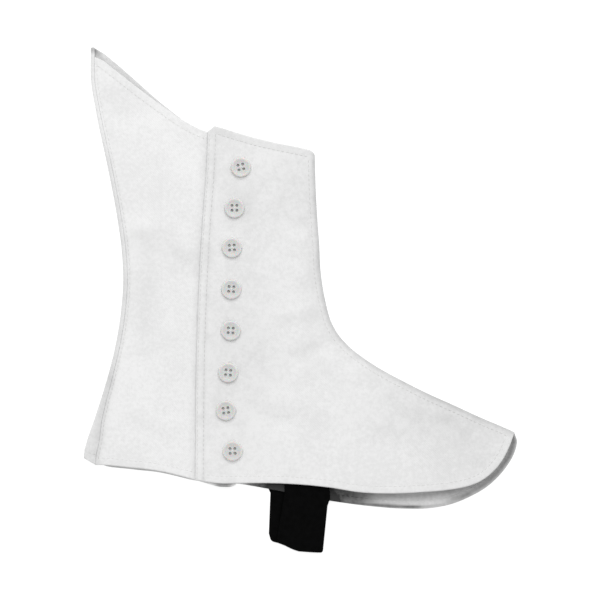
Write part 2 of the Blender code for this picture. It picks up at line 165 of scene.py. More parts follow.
# The inner side's hem, from the heel to the toe, which shows below the outer one.
INNER_HEM = table(Point, [
    (-138.9, -100.6), (-129.9, -103.6), (-124.6, -105.9), (-119, -106.8), (-111.4, -107.5),
    (-103.7, -108.4), (-92.4, -109.6), (-84.5, -111.1), (-76.8, -113), (-69.1, -114.8), (-61.8, -115.8),
    (-37.4, -117.5), (-19.5, -120.5), (18.9, -128), (45, -131.5), (66, -133), (84.1, -132.6),
    (98.2, -129.7), (108.2, -125.6), (118.9, -119.5), (131.2, -107.3), (137.2, -97), (138.8, -89.6),
    (137, -84.3),
])

# The inner side's cuff, from the tip of the peak to the centre-front seam.
INNER_TOP = table(Point, [
    (-134.3, 162.4), (-128.6, 160.4), (-120.6, 154.2), (-106, 141.6), (-87.2, 125.2), (-69.4, 112.4),
    (-45, 104.2), (-15, 97.4), (8.9, 93.4),
])

# The outer back's cuff, from the back seam to the front edge of the button stand.
BACK_TOP = table(Point, [
    (-133.8, 158.4), (-127, 154.2), (-121.6, 150.1), (-113.9, 144.2), (-105, 137.1), (-96.3, 130.6),
    (-87.4, 124.2), (-77.1, 117), (-69.4, 112.4), (-58, 107.6), (-31, 103.4),
])

# The outer back's hem, from the back seam past the button stand's lower corner.
BACK_HEM = table(Point, [
    (-129.9, -103.4), (-122.9, -105.2), (-115.2, -106), (-107.5, -106.8), (-99.8, -107.5),
    (-92.2, -108.6), (-84.5, -110.1), (-76.8, -112), (-69.1, -114.1), (-61.5, -116.3), (-50.2, -119),
    (-42.5, -118.2), (-39, -115),
])

# The outer front's cuff: the short slant at the placket, then the cuff proper to the front seam.
FRONT_SLANT = table(Point, [
    (-59.4, 108.3), (-54.8, 112),
])
FRONT_TOP = table(Point, [
    (-54.8, 112), (-51.6, 111.1), (-46.4, 109.5), (-31, 104.9), (-15.7, 101.2), (-0.3, 98.1),
    (5.4, 96.7), (7.7, 95.6), (8.9, 93.4),
])

# The outer front's hem, from the placket to the toe.
FRONT_HEM = table(Point, [
    (-67.4, -114.7), (-50.2, -116.8), (-38.7, -116.6), (-10.6, -116.8), (18.2, -119.2), (38, -122.2),
    (59.2, -122.9), (77.9, -122.1), (95.1, -120.6), (106.1, -118.6), (114.2, -115.7), (126.5, -105.5),
    (133.1, -94.4), (137, -84.3),
])

# The strap's legs: the near one comes from inside the outer side, the far one from under the inner.
NEAR_LEG = table(Leg, [
    (-98.6, -11, 17.6), (-117.1, -10.3, 18), (-122.2, -10.2, 18.8), (-126.2, -10.8, 19),
    (-131.2, -11.6, 17.3), (-145.3, -13.9, 15.9), (-162, -16.2, 14.2),
])
FAR_LEG = table(Leg, [
    (-98.6, -20.8, 8), (-119, -21.1, 7.7), (-123, -19.3, 9.6), (-149, -20.3, 9), (-154, -18.9, 10.8),
    (-162, -17.6, 12.8),
])
# Where the strap folds, at fractions of its width from its left edge.
STRAP_REACH = table(Fold, [
    (0, -154.4), (0.12, -155.3), (0.26, -157), (0.4, -159.2), (0.52, -160.5), (0.76, -161.1),
    (1, -161.4),
])

# Soft hollows pressed into the outer side: their middle, direction in degrees, and size.
HOLLOWS = table(Hollow, [
    (-2, 6, 14, 20, 9, 0.55), (4, 28, -6, 14, 8, 0.35), (22, -48, 42, 30, 11, 0.5),
    (84, -84, -28, 34, 10, 0.45), (-96, 30, 82, 36, 8, 0.45), (-104, -58, 60, 26, 8, 0.4),
])

# Creases in the outer back: middle, direction in degrees, half length, half width, depth and bend.
BACK_CREASES = table(Crease, [
    (-120.5, 129.5, 53, 15, 4.5, 0.61, 0), (-102.5, 39.5, 8, 12, 4.2, 0.76, -0.01),
    (-80.5, 30, -47, 13, 4.6, 0.65, 0.004), (-103.5, -2.5, 84, 17, 5.5, 0.47, 0),
    (-75, 69, 12, 6, 4, 0.29, 0), (-77, 52, -8, 5, 4, 0.25, 0), (-92, -34, 24, 13, 5, 0.36, 0.006),
    (-98, -84, -20, 14, 5, 0.4, 0), (-101, 92, -35, 13, 5, 0.25, 0.008),
])

# And in the outer front, the ones at the ankle deeper than those on the vamp.
FRONT_CREASES = table(Crease, [
    (-20.5, 74, 33, 12, 5, 0.72, 0.004), (-4, 48.5, -20, 12, 5, 0.61, 0), (-8, 86, 8, 9, 4.5, 0.32, 0),
    (9, -32, 29, 15, 4.6, 0.94, 0.006), (-1, -15, 17, 11, 4.2, 0.61, -0.004),
    (-14, -77, -10, 22, 7, 0.76, 0.004), (21, -84, 20, 16, 6, 0.43, 0),
    (52, -64, -31, 20, 6, 0.5, -0.002), (48, -92, 6, 18, 7, 0.47, 0), (92.5, -80, -12, 9, 4.5, 0.54, 0),
    (104, -96, -38, 15, 6, 0.43, 0), (-12, -48, 58, 16, 6, 0.43, 0),
])

# And in the inner side, where they lift it off the surface it lies on.
INNER_CREASES = table(Crease, [
    (-112, 108, 50, 20, 6, 0.4, 0), (-78, 64, -22, 24, 6.5, 0.35, 0.003),
    (-88, 22, 12, 26, 6, 0.5, -0.004), (-40, 12, -30, 22, 6, 0.4, 0.003), (-18, 60, 18, 18, 6, 0.35, 0),
    (-12, -18, 25, 24, 6, 0.52, 0.004), (-60, -40, 62, 24, 7, 0.36, 0.002),
    (18, -62, 40, 24, 7, 0.42, -0.003), (64, -84, -26, 26, 8, 0.4, 0.002),
    (-100, -66, 30, 18, 6, 0.3, 0),
])

# The buttons, from the cuff down, with the turn of their holes in degrees.
BUTTONS = table(Button, [
    (-38.1, 85.2, 13), (-42.2, 59.1, 0), (-43.8, 33.7, 4), (-44.2, 7.2, -4), (-44.6, -19.2, -3),
    (-46.2, -46.1, -6), (-47.7, -70.3, 8), (-43.4, -96.2, 2),
])

# How much shade is painted on the back fold, which turns away from the light, from the heel up.
FOLD_SHADES = table(FoldShade, [
    (-100, 0.18), (-78, 0.15), (-64, 0.15), (-50, 0.26), (0, 0.19), (60, 0.18), (90, 0.11), (109, 0),
    (128, 0), (160, 0.12),
])

# How dark the lining is painted at the open hem, from the heel to the toe, as shade inside the opening with
# some soil: all over, and in a line on the hem.
LINING_SHADE_AND_SOIL = table(ShadeAndSoil, [
    (-38, 0, 0), (-32, 0.95, 0.9), (-24, 1.2, 1.2), (-16, 1.5, 1.5), (16, 1.5, 1.4), (22, 1.25, 1.15),
    (28, 1.1, 1.1), (34.6, 0.92, 1), (41, 0.8, 1), (47, 0.54, 0.9), (54, 0.36, 0.85), (60, 0.28, 0.95),
    (70, 0.2, 0.95), (74, 0.2, 0.9), (80, 0.22, 0.45), (96, 0.3, 0.3), (110, 0.2, 0.25),
    (140, 0.16, 0.25),
])

# Broad patches painted greyer on the outer side, partly as soft shade of its sags and creases: their
# middle, half width, half height and grey.
GREY_PATCHES = table(Patch, [
    (-42, -30, 28, 50, 0.12), (-38, 62, 12, 14, 0.16), (8, 10, 9, 24, 0.1), (88, -72, 40, 16, 0.13),
    (104, -92, 36, 26, 0.1), (-98, 37, 13, 8, 0.17), (-77, 26, 13, 8, 0.11), (-99, 0, 8, 26, 0.08),
    (-113, 130, 14, 9, 0.08), (-4, 70, 14, 22, 0.07),
])


def curve(*runs):
    """Returns fine points along smooth curves through the runs' points, with a corner between runs."""
    pieces = []
    for run in runs:
        knots = np.array(run, float)
        at = length_along(knots)
        slopes = np.gradient(knots, at, axis=0) if len(knots) > 2 else np.repeat(
            [(knots[1] - knots[0]) / at[1]], 2, axis=0)
        where = np.linspace(0, at[-1], FINE)
        k = np.clip(np.searchsorted(at, where, side="right") - 1, 0, len(at) - 2)
        span = (at[k + 1] - at[k])[:, None]
        s = (where - at[k])[:, None] / span
        pieces.append(
            (2 * s**3 - 3 * s**2 + 1) * knots[k] + (s**3 - 2 * s**2 + s) * span * slopes[k]
            + (3 * s**2 - 2 * s**3) * knots[k + 1] + (s**3 - s**2) * span * slopes[k + 1])
    return np.concatenate([pieces[0]] + [piece[1:] for piece in pieces[1:]])


def length_along(line):
    """Returns the distance from a line's start to each of its points."""
    return np.concatenate([[0], np.cumsum(np.linalg.norm(np.diff(line, axis=0), axis=1))])


def walk(line, distances):
    """Returns the points at the given distances along a line."""
    at = length_along(line)
    return np.stack([np.interp(distances, at, line[:, axis]) for axis in range(line.shape[1])], axis=1)


def spread(line, fractions):
    """Returns the points at the given fractions of a line's length."""
    return walk(line, np.asarray(fractions) * length_along(line)[-1])


def least(*values):
    """Returns the least of the values at each place."""
    return np.minimum.reduce(values)


def smoothstep(value):
    """Eases from 0 to 1 as value goes from 0 to 1."""
    value = np.clip(value, 0, 1)
    return value * value * (3 - 2 * value)


def bell(distance, width):
    """Falls from 1 at no distance to nearly nothing at twice the width."""
    return np.exp(-(distance / width) ** 2)


def spaced(length, between):
    """Returns distances along a length, close together near its ends, with even steps between."""
    near = np.array(NEAR_RIM)
    even = np.linspace(near[-1], length - near[-1], between + 1)
    return np.concatenate([near[:-1], even, (length - near[:-1])[::-1]])


def patch(left, right, hem, top, up, across):
    """Spans a panel between its four edges, as a grid of plan points by row and column.

    up and across are the even steps between the close ones. Returns the grid, and each point's
    distance along its row from the left and from the right.
    """
    height = (length_along(left)[-1] + length_along(right)[-1]) / 2
    fractions = spaced(height, up) / height
    shares = np.linspace(0, 1, ACROSS)
    edges = [spread(left, fractions), spread(right, fractions), spread(hem, shares), spread(top, shares)]
    v = fractions[:, None, None]
    u = shares[None, :, None]
    sides = (1 - u) * edges[0][:, None] + u * edges[1][:, None]
    ends = (1 - v) * edges[2][None] + v * edges[3][None]
    corners = ((1 - v) * ((1 - u) * edges[2][0] + u * edges[2][-1])
               + v * ((1 - u) * edges[3][0] + u * edges[3][-1]))
    dense = sides + ends - corners
    grid, starts, stops = [], [], []
    for row in dense:
        whole = length_along(row)[-1]
        distances = spaced(whole, across)
        grid.append(walk(row, distances))
        starts.append(distances)
        stops.append(whole - distances)
    return np.array(grid), np.array(starts), np.array(stops)


def nearest(places, line):
    """Returns how far each place is from a line, and how far along the line it is nearest."""
    shape = places.shape[:-1]
    flat = places.reshape(-1, 2)
    best = np.full(len(flat), np.inf)
    along = np.zeros(len(flat))
    at = length_along(line)
    for k, (start, step) in enumerate(zip(line[:-1], np.diff(line, axis=0))):
        share = np.clip((flat - start) @ step / (step @ step), 0, 1)
        gap = np.hypot(flat[:, 0] - start[0] - share * step[0], flat[:, 1] - start[1] - share * step[1])
        closer = gap < best
        best[closer] = gap[closer]
        along[closer] = at[k] + share[closer] * (at[k + 1] - at[k])
    return best.reshape(shape), along.reshape(shape)


def measured(places, *lines):
    """Returns what nearest says for each line in turn."""
    return [value for line in lines for value in nearest(places, line)]


def inward(line, fractions):
    """Returns the unit directions from the back fold into the panel, at fractions of the line."""
    further = spread(line, np.minimum(fractions + 0.008, 1))
    tangents = further - spread(line, np.maximum(fractions - 0.008, 0))
    normals = np.stack([tangents[:, 1], -tangents[:, 0]], axis=1)
    return normals / np.linalg.norm(normals, axis=1)[:, None]


def back_fold(rows):
    """Returns the fold's outline at the rows' fractions, the way in from it, and how far in the seam is."""
    line = curve(BACK)
    outline = spread(line, rows)
    heights, distances = zip(*BACK_SEAM)
    x, y = inward(line, rows).T
    turn = np.radians(HEEL_TURN) * smoothstep(1 - rows / HEEL_REACH)
    way_in = np.stack([x * np.cos(turn) + y * np.sin(turn), y * np.cos(turn) - x * np.sin(turn)], axis=1)
    return outline, way_in, np.interp(rows, heights, distances)


def in_frame(spot, x, y):
    """Returns how far x, y is along and across a spot that lies at its angle."""
    x, y, turn = x - spot.x, y - spot.y, math.radians(spot.angle)
    return x * math.cos(turn) + y * math.sin(turn), y * math.cos(turn) - x * math.sin(turn)


def hollow_depth(x, y):
    """Returns how deep the CAD model's soft hollows are at x, y."""
    depth = np.zeros_like(x)
    for hollow in HOLLOWS:
        along, across = in_frame(hollow, x, y)
        depth += hollow.depth * bell(along, hollow.length) * bell(across, hollow.width)
    return depth


def crease_depth(x, y, creases):
    """Returns how deep the creases are at x, y: each a bent trough with a low ridge beside it."""
    depth = np.zeros_like(x)
    for crease in creases:
        along, across = in_frame(crease, x, y)
        across = across - crease.bend * along ** 2
        ridge = 0.45 * bell(across - 1.7 * crease.width, crease.width)
        depth += crease.depth * (bell(across, crease.width) - ridge) * bell(along, crease.length)
    return depth


def lumps(x, y, size, seed):
    """Returns unevenness of about -1 to 1, made of waves about that size from hollow to lump."""
    chance = random.Random(seed)
    total = np.zeros_like(x)
    for _ in range(WAVES):
        turn = chance.uniform(0, math.tau)
        long = 2 * size * chance.uniform(0.6, 1.8)
        phase = chance.uniform(0, math.tau)
        total += np.sin((x * math.cos(turn) + y * math.sin(turn)) * math.tau / long + phase)
    return total / math.sqrt(WAVES)


def placket_x(y):
    """Returns the x of the placket's edge at a height."""
    return np.interp(y, [point.y for point in PLACKET], [point.x for point in PLACKET])


def front_height(x, y, to_seam, to_hem):
    """Returns the middle of the outer front's wall at x, y, that far from the front seam and the hem."""
    at_seam = CLOTH / 2 + CLOTH + GAP
    near = 1 - np.clip(to_seam / FRONT_TURN, 0, 1)
    past_stand = x - placket_x(y) - UNDERLAP - STAND_CLEAR
    hollow = hollow_depth(x, y) * smoothstep(past_stand / HOLLOW_EASE) * smoothstep(to_seam / HOLLOW_EASE)
    gape = TOE_GAPE * bell(x - GAPE_X, GAPE_SPREAD) * bell(to_hem, GAPE_REACH)
    return at_seam + (FRONT_HEIGHT - at_seam + gape) * np.sqrt(1 - near ** 2) - hollow


def strap_lift(x, y):
    """Returns how far the inner side is lifted off the surface by the strap's far leg."""
    left = min(leg.left for leg in FAR_LEG[:3]) - RISE_MARGIN
    right = max(leg.right for leg in FAR_LEG[:3]) + RISE_MARGIN
    beside = smoothstep(1 - np.maximum(left - x, x - right) / RISE_RAMP)
    above = smoothstep(1 - (y - STRAP_TOP - RISE_MARGIN) / RISE_RAMP)
    return STRAP_RISE * beside * above


def groove(distance, along, inset, depth=GROOVE_DEPTH, width=GROOVE_WIDTH):
    """Returns how deep a row of stitching pulls the cloth in, deeper where each stitch goes down."""
    pucker = 0.75 + 0.25 * np.cos(math.tau * along / STITCH_PITCH)
    return depth * pucker * bell(distance - inset, width)


def heel_valley(to_seam, rows):
    """Returns how deep the cloth sinks beside the back seam, which is only at the heel."""
    return HEEL_VALLEY * bell(to_seam, VALLEY_WIDTH) * smoothstep((0.27 - rows) / 0.12)


def fold_shade(from_fold, seam, y):
    """Returns the painted shade of the back fold, where it turns away from the light, at a distance from
    it, with the seam that far from it.
    """
    heights, greys = zip(*FOLD_SHADES)
    share = np.clip(from_fold / (seam + FOLD_REACH), 0, 1)
    return np.interp(y, heights, greys) * (1 - share ** 2)


def grey_patches(x, y):
    """Returns how grey the outer side's broad patches are painted at x, y."""
    return sum(spot.grey * bell(x - spot.x, spot.wide) * bell(y - spot.y, spot.high) for spot in GREY_PATCHES)


def lining_shade_and_soil(x, to_hem):
    """Returns the painted shade and soil of the lining where the hem is open: black by the strap, lighter
    at the vamp where the light comes in.
    """
    places, broad, line = zip(*LINING_SHADE_AND_SOIL)
    # Painted shade inside the opening, darkest by the strap, less at the gape's middle where light comes
    # in, more at the toe's corner, and a painted dark line along the hem's edge.
    opening = np.exp(-(to_hem / 16) ** 4)
    less_shade = bell(to_hem - 4, 2.4) * np.interp(x, [44, 56, 82, 98], [0, 1, 1, 0])
    at_toe = np.interp(x, [92, 105, 114, 130], [0, 0.44, 0.52, 0.62])
    toe = bell(to_hem - 2.3, 2) * at_toe
    width = np.interp(x, [56, 66], [1.4, 1.1])
    hem_line = bell(to_hem - 1.1, width) * np.interp(x, places, line)
    return np.maximum(opening * np.interp(x, places, broad) * (1 - less_shade) + toe, hem_line)


def turned_hem(distance, inset):
    """Returns the extra thickness where the edge is turned in as far as its stitching."""
    return TURNING * smoothstep((inset + 0.5 - distance) / 0.8)


def rim(distance):
    """Returns the share of the full thickness at a distance from a panel's rim."""
    return np.sqrt(1 - (1 - np.clip(distance / EDGE_ROUND, 0, 1)) ** 2)


def rimmed(share):
    """Sets a grid's own rim to exactly nothing, so that its two faces meet there."""
    share[0, :] = share[-1, :] = 0
    share[:, 0] = share[:, -1] = 0
    return share


def plug(tree, node, inputs):
    """Sets a node's inputs, each to a value or to the socket that it comes from."""
    for name, value in inputs.items():
        if isinstance(value, bpy.types.NodeSocket):
            tree.links.new(value, node.inputs[name])
        else:
            node.inputs[name].default_value = value


def helper(tree, kind, inputs, **settings):
    """Adds a node with its settings and its inputs."""
    node = tree.nodes.new(kind)
    for name, value in settings.items():
        setattr(node, name, value)
    plug(tree, node, inputs)
    return node


def maths(tree, operation, first, second=0):
    """Adds a maths node and returns its result."""
    return helper(tree, "ShaderNodeMath", {0: first, 1: second}, operation=operation).outputs[0]


def ranged(tree, value, low, high, to_low, to_high):
    """Returns a value brought from one range to another."""
    inputs = {"Value": value, "From Min": low, "From Max": high, "To Min": to_low, "To Max": to_high}
    return helper(tree, "ShaderNodeMapRange", inputs).outputs["Result"]


def noise(tree, place, scale, detail=3, roughness=0.5):
    """Returns a noise of that many lumps to a metre."""
    inputs = {"Vector": place, "Scale": scale, "Detail": detail, "Roughness": roughness}
    return helper(tree, "ShaderNodeTexNoise", inputs).outputs["Fac"]


def bumped(tree, height, depth, strength):
    """Returns the bump of a height that is that many metres deep."""
    inputs = {"Height": height, "Distance": depth, "Strength": strength}
    return helper(tree, "ShaderNodeBump", inputs).outputs["Normal"]


def blended(tree, share, first, second):
    """Returns a colour between two, by a share."""
    mix = helper(tree, "ShaderNodeMix", {}, data_type="RGBA")
    ends = (colour if isinstance(colour, bpy.types.NodeSocket) else (*colour, 1)
            for colour in (first, second))
    names = (number for number, socket in enumerate(mix.inputs) if socket.type == "RGBA")
    plug(tree, mix, {"Factor": share, **dict(zip(names, ends))})
    return next(socket for socket in mix.outputs if socket.type == "RGBA")


def new_material(name):
    """Makes a material and returns it with its node tree, its shader and the object's coordinates."""
    made = bpy.data.materials.new(name)
    made.use_nodes = True
    tree = made.node_tree
    place = helper(tree, "ShaderNodeTexCoord", {}).outputs["Object"]
    return made, tree, tree.nodes["Principled BSDF"], place


def weave(tree, place, pitch):
    """Returns the height of a plain weave whose threads stand that many metres apart."""
    axes = helper(tree, "ShaderNodeSeparateXYZ", {"Vector": place})
    waves = [
        maths(tree, "SINE", maths(tree, "MULTIPLY", axes.outputs[axis], math.pi / pitch))
        for axis in ("X", "Y")
    ]
    return maths(tree, "MULTIPLY", waves[0], waves[1])


def slubs(tree, place, turn):
    """Returns the thick and thin places of the threads that run one way."""
    scale = (260, 2200, 800) if turn else (2200, 260, 800)
    stretched = helper(tree, "ShaderNodeMapping", {"Vector": place, "Scale": scale}).outputs["Vector"]
    return noise(tree, stretched, 1, 2)


def cloth_wear_and_shade(tree):
    """Returns how much painted shade and scuffing darken a mesh at each of its points."""
    return helper(tree, "ShaderNodeAttribute", {}, attribute_name="wear_and_shade").outputs["Fac"]


def canvas(name, clean, soiled, worn_and_shaded):
    """Makes the matt cotton canvas: plain weave, slubs, faint mottling, and greyer where shade is painted
    on and where it is scuffed.
    """
    made, tree, shader, place = new_material(name)
    cloud = ranged(tree, noise(tree, place, 130, 4, 0.6), 0.35, 0.65, 0, 1)
    broad = ranged(tree, noise(tree, place, 24, 2), 0.38, 0.66, 0, 1)
    grain = ranged(tree, noise(tree, place, 420, 3), 0.3, 0.7, -0.55, 0.55)
    mottled = maths(tree, "ADD", maths(tree, "MULTIPLY", cloud, 0.3), maths(tree, "MULTIPLY", broad, 0.65))
    colour = blended(tree, maths(tree, "ADD", mottled, grain), clean, soiled)
    # Darkens towards the last colour where shade is painted on and where the cloth is scuffed.
    grime_and_shade = maths(tree, "MULTIPLY", cloth_wear_and_shade(tree), ranged(tree, cloud, 0, 1, 0.72, 0.94))
    threads = maths(tree, "ADD", slubs(tree, place, False), slubs(tree, place, True))
    height = maths(tree, "ADD", weave(tree, place, 0.00055), maths(tree, "MULTIPLY", threads, 1.4))
    plug(tree, shader, {
        "Base Color": blended(tree, grime_and_shade, colour, worn_and_shaded),
        "Roughness": ranged(tree, cloud, 0, 1, 0.84, 0.96),
        "Specular IOR Level": 0.25, "Sheen Weight": 0.12, "Sheen Roughness": 0.6,
        "Normal": bumped(tree, height, 0.00005, 0.7)})
    return made


def thread_material(name, light, dark):
    """Makes the sewing thread, with the turns of its plies."""
    made, tree, shader, place = new_material(name)
    turns = helper(tree, "ShaderNodeTexWave", {"Vector": place, "Scale": 700, "Distortion": 1.5},
                   bands_direction="DIAGONAL").outputs["Fac"]
    clean = blended(tree, turns, light, dark)
    plug(tree, shader, {
        # Darkened, down to near black, by the painted shade and scuffing of the cloth it is sewn into.
        "Base Color": blended(tree, cloth_wear_and_shade(tree), clean, (0.03, 0.03, 0.03)),
        "Roughness": 0.7, "Specular IOR Level": 0.3, "Normal": bumped(tree, turns, 0.00004, 0.6)})
    return made


def plastic_material():
    """Makes the buttons' satin plastic, faintly clouded and scuffed, and greyer inside the rim."""
    made, tree, shader, place = new_material("white_plastic")
    cloud = ranged(tree, noise(tree, place, 420, 3), 0.35, 0.65, 0, 0.3)
    across = helper(tree, "ShaderNodeVectorMath", {0: place, 1: (1, 1, 0)}, operation="MULTIPLY")
    radius = helper(tree, "ShaderNodeVectorMath", {0: across.outputs["Vector"]}, operation="LENGTH")
    inside = ranged(tree, radius.outputs["Value"], 0.0047, 0.0060, 0.7, 0)
    scuffs = noise(tree, place, 3200, 4, 0.7)
    plug(tree, shader, {
        "Base Color": blended(
            tree, maths(tree, "ADD", cloud, inside), (0.74, 0.74, 0.73), (0.61, 0.61, 0.60)),
        "Roughness": ranged(tree, scuffs, 0.3, 0.7, 0.28, 0.44),
        "Subsurface Weight": 0.3, "Subsurface Scale": 0.0015,
        "Normal": bumped(tree, scuffs, 0.00001, 0.4)})
    return made


def webbing_material():
    """Makes the strap's matt black webbing."""
    made, tree, shader, place = new_material("black_webbing")
    cloud = ranged(tree, noise(tree, place, 300, 4), 0.3, 0.7, 0, 1)
    height = maths(tree, "ADD", weave(tree, place, 0.0004), slubs(tree, place, False))
    plug(tree, shader, {
        "Base Color": blended(tree, cloud, (0.0012, 0.0012, 0.0012), (0.003, 0.003, 0.0031)),
        "Roughness": ranged(tree, cloud, 0, 1, 0.7, 0.85), "Specular IOR Level": 0.03,
        "Normal": bumped(tree, height, 0.00004, 0.8)})
    return made


def to_metres(points):
    """Returns points in the CAD model's frame, in metres."""
    return (np.asarray(points) + np.array([*CENTRE, 0])) * MM


def linked(name, data):
    """Makes an object of its data and puts it in the scene."""
    made = bpy.data.objects.new(name, data)
    bpy.context.scene.collection.objects.link(made)
    return made


def new_piece(name, points, faces, materials):
    """Makes a smooth mesh piece that rides on the body."""
    mesh = bpy.data.meshes.new(name)
    mesh.from_pydata(to_metres(points).tolist(), [], [tuple(face) for face in faces])
    mesh.shade_smooth()
    for material in materials:
        mesh.materials.append(material)
    piece = linked(name, mesh)
    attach(piece, "root")
    return piece


def quads(numbers):
    """Returns the four-sided faces of a grid of point numbers."""
    corners = [numbers[:-1, :-1], numbers[:-1, 1:], numbers[1:, 1:], numbers[1:, :-1]]
    return np.stack(corners, axis=-1).reshape(-1, 4)


def shell(name, middle, up, down, wear_and_shade, materials):
    """Makes a closed sheet round a grid of points in the middle of its wall.

    up and down are the distances from the middle to its two faces, and 0 on the rim, where the
    faces meet. The face on the up side gets the first material, and the other one the second.
    """
    normal = np.cross(np.gradient(middle, axis=1), np.gradient(middle, axis=0))
    normal /= np.linalg.norm(normal, axis=2)[..., None]
    above = middle + normal * up[..., None]
    below = middle - normal * down[..., None]
    for side in (above, below):
        side[..., 2] = np.maximum(side[..., 2], 0)
    upper = np.arange(up.size).reshape(up.shape)
    lower = upper.copy()
    inside = lower[1:-1, 1:-1]
    inside[...] = up.size + np.arange(inside.size).reshape(inside.shape)
    points = np.concatenate([above.reshape(-1, 3), below[1:-1, 1:-1].reshape(-1, 3)])
    faces = np.concatenate([quads(upper), quads(lower)[:, ::-1]])
    piece = new_piece(name, points, faces.tolist(), materials)
    sides = np.repeat([0, 1], len(faces) // 2)
    piece.data.polygons.foreach_set("material_index", sides.astype(np.int32))
    grime_and_shade = piece.data.attributes.new("wear_and_shade", "FLOAT", "POINT")
    both = np.concatenate([wear_and_shade.ravel(), wear_and_shade[1:-1, 1:-1].ravel()])
    grime_and_shade.data.foreach_set("value", both.astype(np.float32))
    piece.data.update()
    return piece


def darker_rim(distance, reach):
    """Returns the darkening near a rim: 1 on it, and nothing past its reach; painted shade of a rounded
    edge, partly scuffing.
    """
    return smoothstep(1 - distance / reach) ** 2


def inner_panel(outside, lining):
    """Makes the inner side: its band on the near side, the back fold and the sheet that lies flat."""
    fold_steps, band_shares = 12, [1, 0.985, 0.96, 0.92, 0.86, 0.78, 0.66, 0.5, 0.34, 0.17]
    beyond = 99.0  # a distance that no rim or seam reaches
    front, back = curve(FRONT), curve(BACK)
    height = (length_along(back)[-1] + length_along(front)[-1]) / 2
    rows = spaced(height, 150) / height
    outline, way_in, seam = back_fold(rows)
    pressed = HEEL_PRESS * smoothstep(1 - rows / PRESS_REACH)
    turn = (FOLD_RADIUS - CLOTH / 2) * (1 - pressed)
    start = outline + way_in * (CLOTH / 2 + turn)[:, None]
    hem = curve([start[0], *INNER_HEM[1:]])
    top = curve([start[-1], *INNER_TOP[1:]])
    plan = patch(start, front, hem, top, 150, 118)[0][:, len(NEAR_RIM) - 1:]

    x, y = plan[..., 0], plan[..., 1]
    to_hem, along_hem, to_top, along_top, to_front, _ = measured(plan, hem, top, front)
    from_fold = np.linalg.norm(plan - plan[:, :1], axis=2)
    free = smoothstep(least(to_hem, to_top, to_front, from_fold) / 14)
    lifted = np.clip(crease_depth(x, y, INNER_CREASES), -0.1, RISE_BELOW) + 0.12 * lumps(x, y, 16, 5)
    over_strap = strap_lift(x, y)
    lift = over_strap + np.clip(lifted, 0, None) * free * (1 - smoothstep(over_strap))
    curl = bell(x - CURL_X, CURL_SPREAD) * np.clip(1 - to_hem / CURL_REACH, 0, 1) ** 1.5
    lift = lift + HEM_CURL * curl * smoothstep((-60 - y) / 20)

    band_height = CLOTH / 2 + 2 * turn
    seam_height = 2 * FOLD_RADIUS - CLOTH / 2
    near_side = []
    for share in band_shares:
        across = CLOTH / 2 + turn + (seam - CLOTH / 2 - turn) * share
        z = band_height + (seam_height - band_height) * np.sin(share * math.pi / 2)
        near_side.append(np.column_stack([outline + way_in * across[:, None], z]))
    for angle in np.linspace(math.pi / 2, -math.pi / 2, fold_steps + 1)[:-1]:
        z = CLOTH / 2 + turn + turn * math.sin(angle)
        near_side.append(np.column_stack([start - way_in * (turn * math.cos(angle))[:, None], z]))
    band = np.stack(near_side, axis=1)
    middle = np.hstack([band, np.dstack([plan, CLOTH / 2 + lift])])

    none = np.zeros(band.shape[:2])
    to_seam = np.hstack([np.linalg.norm(band - band[:, :1], axis=2), np.full(to_hem.shape, beyond)])
    up_rows = np.vstack([none[:1], np.cumsum(np.linalg.norm(np.diff(band, axis=0), axis=2), axis=0)])
    to_hem, along_hem = np.hstack([up_rows, to_hem]), np.hstack([none, along_hem])
    to_top, along_top = np.hstack([up_rows[-1] - up_rows, to_top]), np.hstack([none, along_top])
    to_front = np.hstack([none + beyond, to_front])

    valley = heel_valley(to_seam, rows[:, None])
    middle[..., 2] -= valley
    edge = least(to_hem, to_top, to_front, to_seam * EDGE_ROUND / SEAM_ROUND)
    thickness = rimmed(rim(edge)) * CLOTH / 2
    sunk = groove(to_hem, along_hem, STITCH_INSET) + groove(to_top, along_top, STITCH_INSET)
    turned = turned_hem(np.minimum(to_hem, to_top), STITCH_INSET)
    x, y = middle[..., 0], middle[..., 1]
    from_fold = np.linalg.norm(middle[..., :2] - outline[:, None], axis=2)
    # Painted shade: near black in the deep corner at the peak's tip, inside the open hem, on the back fold
    # where it turns from the light and in the heel's valley; the cuff's rim a little darker.
    tip = 0.75 * np.exp(-((x + 132.8) ** 2 + (y - 160.8) ** 2) / 7)
    wear_and_shade = np.maximum.reduce([
        lining_shade_and_soil(x, to_hem) * (to_seam == beyond), 0.12 * darker_rim(to_top, 1.4), tip,
        fold_shade(from_fold, seam[:, None], y) + 0.6 * valley])
    piece = shell("inner_side", middle, thickness + (turned - sunk) * rim(edge),
                  thickness - sunk * rim(edge), wear_and_shade, [lining, outside])
    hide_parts("inner_panel")
    return piece, {"hem": hem, "top": top, "front": front}


